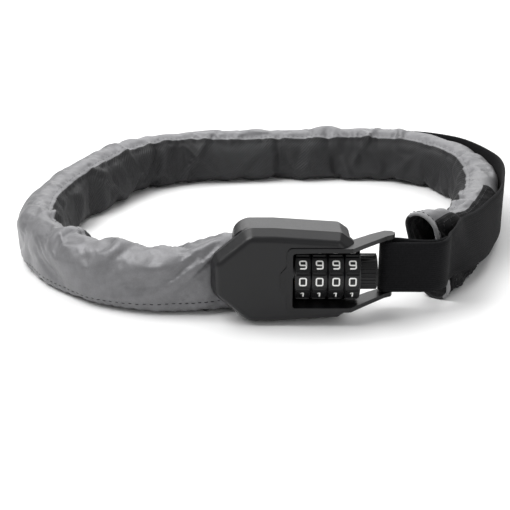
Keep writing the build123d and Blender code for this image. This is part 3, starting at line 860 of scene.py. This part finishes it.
# ---- free end of the sleeve
HEM_WIDE = 4.2  # hem folded over the edge of the mouth
HEM_PROUD = 0.8  # how far it stands off the cloth
UNDER_HEM = 0.75
INNER_CLOTH_AND_SHADE_PLUG_DEEP = 46.0  # how far in the dark inner cloth reaches, where a dark sheet of painted shade closes it
RING_APART = 0.65  # between the rings of the hem and lining, for their weave


def build_mouth(fine, s_fine, normals):
    """Folded hem round the mouth, its stitching and dark inner cloth ending in painted shade."""
    rows = fine.shape[1]
    last = len(fine) - 1
    start = ring_at(s_fine, BELT_LENGTH - HEM_WIDE)
    deep = ring_at(s_fine, BELT_LENGTH - INNER_CLOTH_AND_SHADE_PLUG_DEEP)
    tangent = np.gradient(fine, axis=0)
    tangent /= np.linalg.norm(tangent, axis=2, keepdims=True)
    layers = []
    for i in range(start, last + 1):
        edge = ease((i - start) / 1.5)
        layers.append(fine[i] + normals[i] * (HEM_PROUD - UNDER_HEM * (1 - edge)))
    for turn in (20, 60, 100, 140, 170):
        a = math.radians(turn)
        out = HEM_PROUD * math.cos(a) * 0.9
        on = UNDER_HEM * math.sin(a)
        layers.append(fine[last] + normals[last] * out + tangent[last] * on)
    for i in range(last, start - 1, -1):
        layers.append(fine[i] - normals[i] * HEM_PROUD)
    hem = closed_rings("sleeve_mouth_hem", np.array(layers), s_fine[start])
    dress(hem, "hem", "black_cloth")
    for poly in hem.data.polygons:
        poly.material_index = int(min(v % rows for v in poly.vertices) >= rows // 2)
    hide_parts("sleeve_hem")
    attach(hem, "right_front_arm")

    inside = [fine[i] - normals[i] * UNDER_HEM for i in range(last - 1, deep, -1)]
    centre = inside[-1].mean(axis=0)
    # The inner cloth narrows to a nearly closed end: a dark sheet deep in the sleeve, painted
    # shade.
    for share in (0.7, 0.4, 0.1):
        inside.append(centre + (inside[-1] - centre) * share)
    inner_cloth_and_shade_plug = closed_rings("sleeve_inner_cloth_and_shade_plug", np.array(inside), 0.0)
    dress(inner_cloth_and_shade_plug, "inner_cloth_and_shade_plug")
    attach(inner_cloth_and_shade_plug, "right_front_arm")

    mid = (start + last) // 2
    ring = fine[mid] + normals[mid] * UNDER_HEM
    way = np.roll(ring, -1, axis=0) - np.roll(ring, 1, axis=0)
    keep = np.arange(0, rows, 2)
    loops = thread_mesh("hem_stitches", ring[keep], way[keep], normals[mid][keep], 1.5, 0.24, 0.1)
    dress(loops, "thread")
    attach(loops, "right_front_arm")


def closed_rings(name, grid, s0):
    """A tube of rings that each close on themselves, with its UV in metres."""
    rings, rows = grid.shape[:2]
    obj = new_object(name, world(grid.reshape(-1, 3)), grid_faces(rings, rows))
    mesh = obj.data
    uv = mesh.uv_layers.new(name="cloth")
    for poly in mesh.polygons:
        poly.use_smooth = True
        base = min(mesh.loops[k].vertex_index % rows for k in poly.loop_indices)
        for k in poly.loop_indices:
            i, j = divmod(mesh.loops[k].vertex_index, rows)
            if base == 0 and j == rows - 1:
                j = -1
            uv.data[k].uv = ((s0 + i * RING_APART) / 1000.0, j * GIRTH / 1000.0 / rows)
    return obj


# ---- strap
STRAP_LOW = 10.9
STRAP_HIGH = 38.3
STRAP_THICK = 1.7
STRAP_DROP = 5.2  # sets how much lower the strap lies along the sleeve
START_DROP = 7.4  # the sewn end sits this much lower
STRAP_GAP = 0.55  # between the sleeve and the strap
BOX_WIDE, BOX_INSET = 14.0, 2.0  # the box of stitches at the sewn end
BAR = (67.0, 9.0)  # plan place of the bar the strap goes round
FOLD_R = 3.4


def outer_reach(fine, s_fine, low=9.0, high=40.0):
    """How far the outer side of the sleeve stands out from its path, ring by ring."""
    x, y = plan(s_fine)
    h = at(s_fine, HEADING)
    out = (fine[..., 0] - x[:, None]) * -np.sin(h)[:, None]
    out += (fine[..., 1] - y[:, None]) * np.cos(h)[:, None]
    out -= lean(s_fine[:, None], fine[..., 2])
    inside = (fine[..., 2] > low) & (fine[..., 2] < high)
    reach = np.where(inside, out, 0).max(axis=1)
    wide = 5
    padded = np.pad(reach, wide, mode="edge")
    top = np.array([padded[i:i + 2 * wide + 1].max() for i in range(len(reach))])
    return smooth(top, 9)


def build_strap(fine, s_fine):
    """The strap from its sewn end along the sleeve, round the bar and a little way back."""
    reach = outer_reach(fine, s_fine)
    hinge_back = nearest(HINGES[STRAP_SEWN_PAIR])
    s0, s1 = hinge_back + 14.0, BELT_LENGTH - 1.0
    s = np.arange(s0, s1, 1.5)
    offset = np.interp(s, s_fine, reach) + STRAP_GAP + STRAP_THICK / 2
    along = offset_path(s, offset)
    front, back = BAR[1] - FOLD_R, BAR[1] + FOLD_R
    leaving = [(98.6, 12.6), (95.0, 7.6), (89.0, 5.4), (80.0, front)]
    corner = rounded(np.vstack([along[-4:], leaving]))
    run = [(x, front) for x in np.linspace(78, BAR[0], 8)]
    turns = np.radians(np.linspace(-90, -270, 19))[1:]
    fold = [(BAR[0] + FOLD_R * math.cos(t), BAR[1] + FOLD_R * math.sin(t)) for t in turns]
    tail = rounded([(BAR[0] + 1.0, back), (BAR[0] + 6.0, back), (78.0, 10.4), (86.0, 8.6),
                    (93.0, 9.4), (98.2, 14.4)])
    centre = np.vstack([along[:-4], corner, run[1:], fold, tail])
    run_s = s0 + arc_lengths(centre)
    beside = 0.65 * STRAP_DROP
    drop = START_DROP + (beside - START_DROP) * ease((run_s - s0) / 75)
    drop = drop - beside * ease((run_s - s1 + 32) / 44)
    tilt = -LEAN_SLOPE * near_mouth(run_s, LEAN_REACH) * (1 - ease((run_s - s1 + 3) / 26))
    strap, length = ribbon("strap_band", centre, STRAP_LOW, STRAP_HIGH, STRAP_THICK,
                           drop, tilt, s0=s0)
    dress(strap, "strap")
    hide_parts("strap_rear", "strap_front")
    blend_over(strap)
    sewn_end(along)


def sewn_end(along):
    """Box of stitches where the strap is sewn to the sleeve at its back end."""
    start = along[2]
    way = along[12] - along[0]
    way = way / np.linalg.norm(way)
    side = np.array([-way[1], way[0]])
    low = STRAP_LOW + BOX_INSET - START_DROP
    high = STRAP_HIGH - BOX_INSET - START_DROP
    wide, tall = BOX_WIDE, high - low
    corners = [(0, 0), (wide, 0), (wide, tall), (0, tall), (0, 0), (wide, tall)]
    corners += [(wide, 0), (0, tall)]
    centre, direction, lean = [], [], []
    for (a0, b0), (a1, b1) in zip(corners, corners[1:]):
        span = math.hypot(a1 - a0, b1 - b0)
        for d in np.arange(1.2, span, 2.6):
            u = d / span
            a, b = a0 + (a1 - a0) * u, b0 + (b1 - b0) * u
            near = np.interp(a, [0, BOX_WIDE], [0, 1])
            place = start + (along[11] - start) * near
            place = place + side * (STRAP_THICK / 2 + 0.05)
            centre.append((*place, low + b))
            direction.append((way[0] * (a1 - a0), way[1] * (a1 - a0), b1 - b0))
            lean.append((*side, 0.0))
    box = thread_mesh("strap_box_stitch", np.array(centre), np.array(direction), np.array(lean),
                      2.0, 0.3, 0.05)
    dress(box, "black_thread")
    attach(box, "right_back_arm")


# ---- hook-and-loop patch
PATCH_FAR, PATCH_NEAR = 104.0, 5.5  # its ends, back from the sleeve's mouth
PATCH_SHARE = 0.375  # how far round the sleeve it goes, from the lower seam


def build_patch(fine, s_fine, normals):
    """Black loop patch laid on the outside of the sleeve near its mouth, under the strap."""
    rows = fine.shape[1]
    i0 = ring_at(s_fine, BELT_LENGTH - PATCH_FAR)
    i1 = ring_at(s_fine, BELT_LENGTH - PATCH_NEAR)
    j0, j1 = 1, int(rows * PATCH_SHARE)
    layers = fine[i0:i1 + 1, j0:j1 + 1]
    up = normals[i0:i1 + 1, j0:j1 + 1]
    n, m = layers.shape[:2]
    edge = np.ones((n, m))
    edge[[0, -1], :] = 0.25
    edge[:, [0, -1]] = 0.25
    outer = layers + up * (0.1 + 0.55 * edge)[..., None]
    under = layers - up * 0.15
    verts = np.concatenate([outer.reshape(-1, 3), under.reshape(-1, 3)])
    faces = grid_faces(n, m, closed=False)
    faces += [tuple(n * m + k for k in face[::-1]) for face in grid_faces(n, m, closed=False)]
    rim = [(0, j) for j in range(m)] + [(i, m - 1) for i in range(1, n)]
    rim += [(n - 1, j) for j in range(m - 2, -1, -1)] + [(i, 0) for i in range(n - 2, 0, -1)]
    for (a, b), (c, d) in zip(rim, rim[1:] + rim[:1]):
        p, q = a * m + b, c * m + d
        faces.append((q, p, n * m + p, n * m + q))
    obj = new_object("hook_loop_patch", world(verts), faces)
    mesh = obj.data
    uv = mesh.uv_layers.new(name="cloth")
    for loop in mesh.loops:
        i, j = divmod(loop.vertex_index % (n * m), m)
        uv.data[loop.index].uv = (i * 0.0013, j * GIRTH / 1000.0 / rows)
    shade_smooth(mesh)
    dress(obj, "patch")
    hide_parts("hook_patch")
    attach(obj, "right_front_arm")

    centre, way, lean = [], [], []
    lines = [((4, 2), (n - 5, 2)), ((n - 5, 2), (n - 5, m - 3)), ((n - 5, m - 3), (4, m - 3)),
             ((4, m - 3), (4, 2)), ((n - 12, 2), (n - 12, m - 3))]
    for (a0, b0), (a1, b1) in lines:
        p, q = outer[a0, b0], outer[a1, b1]
        count = max(3, int(np.linalg.norm(q - p) / 2.6))
        for d in (np.arange(count) + 0.5) / count:
            i, j = a0 + (a1 - a0) * d, b0 + (b1 - b0) * d
            i, j = int(round(i)), int(round(j))
            centre.append(outer[i, j])
            ahead = outer[min(i + 1, n - 1), j] - outer[i - 1, j]
            across = outer[i, min(j + 1, m - 1)] - outer[i, j - 1]
            way.append(ahead if a0 != a1 else across)
            lean.append(up[i, j])
    sewn = thread_mesh("patch_stitches", np.array(centre), np.array(way), np.array(lean),
                       1.9, 0.26, 0.1)
    dress(sewn, "black_thread")
    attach(sewn, "right_front_arm")


# ---- dial figures
def rounded_line(points, radius=0.2, closed=False):
    """A polyline with its corners rounded, as dense points."""
    p = [np.array(q, float) for q in points]
    out = []
    count = len(p)
    for k in range(count):
        if not closed and k in (0, count - 1):
            out.append(p[k])
            continue
        before, here, after = p[k - 1], p[k], p[(k + 1) % count]
        a, b = before - here, after - here
        la, lb = np.linalg.norm(a), np.linalg.norm(b)
        r = min(radius, 0.49 * la, 0.49 * lb)
        u, v = here + a / la * r, here + b / lb * r
        for t in np.linspace(0, 1, 7):
            out.append((1 - t) ** 2 * u + 2 * t * (1 - t) * here + t * t * v)
    if closed:
        out.append(out[0])
    return np.array(out)


# Strokes of each figure in a box one wide and one high; True means a closed loop.
FIGURES = {
    0: [(True, [(0, 0), (1, 0), (1, 1), (0, 1)])],
    1: [(False, [(0.22, 0.78), (0.6, 1), (0.6, 0)])],
    2: [(False, [(0, 0.8), (0, 1), (1, 1), (1, 0.56), (0, 0.42), (0, 0), (1, 0)])],
    3: [(False, [(0, 1), (1, 1), (1, 0.5), (0.3, 0.5)]),
        (False, [(0.3, 0.5), (1, 0.5), (1, 0), (0, 0)])],
    4: [(False, [(0.78, 0), (0.78, 1), (0, 0.3), (1, 0.3)])],
    5: [(False, [(1, 1), (0, 1), (0, 0.55), (1, 0.55), (1, 0), (0, 0)])],
    6: [(False, [(0.95, 1), (0, 1), (0, 0), (1, 0), (1, 0.55), (0, 0.55)])],
    7: [(False, [(0, 1), (1, 1), (0.4, 0)])],
    8: [(True, [(0, 0.52), (1, 0.52), (1, 1), (0, 1)]),
        (True, [(0, 0), (1, 0), (1, 0.52), (0, 0.52)])],
    9: [(False, [(0.05, 0), (1, 0), (1, 1), (0, 1), (0, 0.45), (1, 0.45)])],
}


def stroke(points, half, low, high, closed, to_space, verts, faces):
    """A raised band along a plane line; to_space turns (x, y, height) into a place."""
    p = np.array(points, float)
    t = np.gradient(p, axis=0)
    if closed:
        t[0] = t[-1] = p[1] - p[-2]
    t /= np.maximum(np.linalg.norm(t, axis=1, keepdims=True), 1e-9)
    side = np.stack([-t[:, 1], t[:, 0]], 1)
    first = len(verts)
    ring = [(-half, low), (-half, high - 0.03), (-half + 0.05, high), (half - 0.05, high),
            (half, high - 0.03), (half, low)]
    for q, w in zip(p, side):
        for across, up in ring:
            verts.append(to_space(q[0] + w[0] * across, q[1] + w[1] * across, up))
    m = len(ring)
    for i in range(len(p) - 1):
        for j in range(m - 1):
            a = first + i * m + j
            faces.append((a, a + 1, a + m + 1, a + m))
    if not closed:
        faces.append(tuple(first + k for k in range(m)))
        faces.append(tuple(first + (len(p) - 1) * m + k for k in range(m))[::-1])


FIGURE_WIDE = 3.15
FIGURE_TALL = 3.8
FIGURE_STROKE = 0.34  # half the width of a stroke
FIGURE_CORNER = 0.8
FIGURE_PROUD = 0.10
BORDER_WIDE, BORDER_TALL = 2.95, 3.15  # half sizes of the border round a figure
BORDER_STROKE = 0.13
BORDER_CORNER = 0.7
BORDER_PROUD = 0.16
SUNK = -0.05  # strokes start this far inside the dial
FACET_OUT = 13.45  # from the dial's axis to its flats
FACET_TURN = 36.0


def facet_space(x_mid, figure_turn):
    """Map (across, up, height) on a dial's flat to a layout point."""
    a = math.radians(figure_turn)

    def place(x, y, up):
        r = FACET_OUT + up
        return (x_mid + x, -r * math.cos(a) + y * math.sin(a),
                AXIS_Z * 1000 + r * math.sin(a) + y * math.cos(a))
    return place


def build_dial_faces(number):
    """The ten figures of a dial and the raised borders round them."""
    low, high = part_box(f"dial_{number}")
    x_mid = (low[0] + high[0]) * 500 - SHIFT_X
    figures, figure_faces, frames, frame_faces = [], [], [], []
    for digit in range(10):
        place = facet_space(x_mid, -FACET_TURN * digit)
        for closed, line in FIGURES[digit]:
            points = [((x - 0.5) * FIGURE_WIDE, (y - 0.5) * FIGURE_TALL) for x, y in line]
            points = rounded_line(points, FIGURE_CORNER, closed)
            stroke(points, FIGURE_STROKE, SUNK, FIGURE_PROUD, closed, place, figures,
                   figure_faces)
        w, h = BORDER_WIDE, BORDER_TALL
        border = rounded_line([(-w, -h), (w, -h), (w, h), (-w, h)], BORDER_CORNER, closed=True)
        stroke(border, BORDER_STROKE, SUNK, BORDER_PROUD, True, place, frames, frame_faces)
    for name, verts, faces, look in (
            (f"dial_{number}_figures", figures, figure_faces, "figures"),
            (f"dial_{number}_borders", frames, frame_faces, "dial")):
        obj = new_object(name, world(verts), faces)
        fix_normals(obj)
        dress(obj, look)
        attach(obj, f"dial_{number}")


def fix_normals(obj):
    bm = bmesh.new()
    bm.from_mesh(obj.data)
    bmesh.ops.recalc_face_normals(bm, faces=bm.faces)
    bm.to_mesh(obj.data)
    bm.free()


INDEX_X, INDEX_Z = 14.0, 24.4
INDEX_FRONT, INDEX_THICK = -12.72, 0.2


def index_mark():
    """Small triangle on the bezel that the figures line up with."""
    verts, faces = [], []
    outline = rounded_line([(-0.9, 1.0), (-0.9, -1.0), (0.9, 0.0)], 0.15, closed=True)[:-1]
    for depth in (INDEX_THICK, 0.0):
        for x, z in outline:
            verts.append((INDEX_X + x, INDEX_FRONT + depth, INDEX_Z + z))
    n = len(outline)
    faces.append(tuple(range(n, 2 * n)))
    faces.append(tuple(range(n))[::-1])
    for k in range(n):
        faces.append((k, (k + 1) % n, n + (k + 1) % n, n + k))
    obj = new_object("index_mark", world(verts), faces)
    fix_normals(obj)
    dress(obj, "dial")
    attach(obj, "lock_head")


# ---- studio
FLOOR_POINTS = 61
FLOOR_HALF = 3.2  # metres
FLOOR_BEND, FLOOR_RISE = 0.45, 2.1  # where the floor starts to curve up, and how much
WORLD_LIGHT = 0.45

# Each soft light: name, place, what it points at, size and power.
LIGHTS = [
    ("rim", (0.05, 1.35, 0.62), (0, 0, 0.03), 1.2, 5.5),
    ("key", (-0.50, -0.10, 0.80), (0, 0, 0.0), 0.6, 8.0),
    ("top", (0.10, 0.55, 0.95), (0, 0.05, 0.0), 1.1, 8.5),
    ("front", (0.55, -0.95, 0.42), (0, 0, 0.03), 0.6, 1.6),
]


def build_studio():
    """A pale floor that curves up at the back, an even white world and the soft lights."""
    grid = np.linspace(-1.0, 1.0, FLOOR_POINTS)
    verts = []
    for y in grid:
        rise = max(0.0, y - FLOOR_BEND) ** 2 * FLOOR_RISE
        for x in grid:
            verts.append((x * FLOOR_HALF, y * FLOOR_HALF, rise))
    faces = grid_faces(FLOOR_POINTS, FLOOR_POINTS, closed=False)
    floor = new_object("studio_floor", verts, faces)
    shade_smooth(floor.data)
    floor.data.materials.append(studio_floor())

    bpy.context.scene.view_settings.view_transform = "Standard"
    world_tree = bpy.data.worlds.new("studio")
    world_tree.use_nodes = True
    back = world_tree.node_tree.nodes["Background"]
    back.inputs["Color"].default_value = (1.0, 1.0, 1.0, 1.0)
    back.inputs["Strength"].default_value = WORLD_LIGHT
    bpy.context.scene.world = world_tree
    for light in LIGHTS:
        soft_light(*light)


def soft_light(name, place, target, size, power):
    data = bpy.data.lights.new(name, "AREA")
    data.shape = "SQUARE"
    data.size = size
    data.energy = power
    lamp = bpy.data.objects.new(name, data)
    lamp.location = place
    aim = Vector(target) - Vector(place)
    lamp.rotation_euler = aim.to_track_quat("-Z", "Y").to_euler()
    bpy.context.scene.collection.objects.link(lamp)


# Camera place and target in the layout's millimetres, fitted to the viewing angle.
CAMERA_AT = (0.0, -449.9, 220.1)
CAMERA_TO = (0.0, 0.0, 33.7)
CAMERA_LENS = 69.18


def build_camera():
    data = bpy.data.cameras.new("camera")
    data.sensor_width = 36.0
    data.lens = CAMERA_LENS
    data.clip_start = 0.01
    data.clip_end = 20.0
    camera = bpy.data.objects.new("camera", data)
    place, target = Vector(world([CAMERA_AT])[0]), Vector(world([CAMERA_TO])[0])
    camera.location = place
    camera.rotation_euler = (target - place).to_track_quat("-Z", "Y").to_euler()
    bpy.context.scene.collection.objects.link(camera)
    bpy.context.scene.camera = camera


# ---- put it together
dress_cad()
FINE, S_FINE, NORMALS, CUTS = build_sleeve()
sew_seams(FINE, S_FINE, NORMALS, CUTS)
build_mouth(FINE, S_FINE, NORMALS)
build_patch(FINE, S_FINE, NORMALS)
build_strap(FINE, S_FINE)
for dial_number in (1, 2, 3, 4):
    build_dial_faces(dial_number)
index_mark()
build_studio()
build_camera()
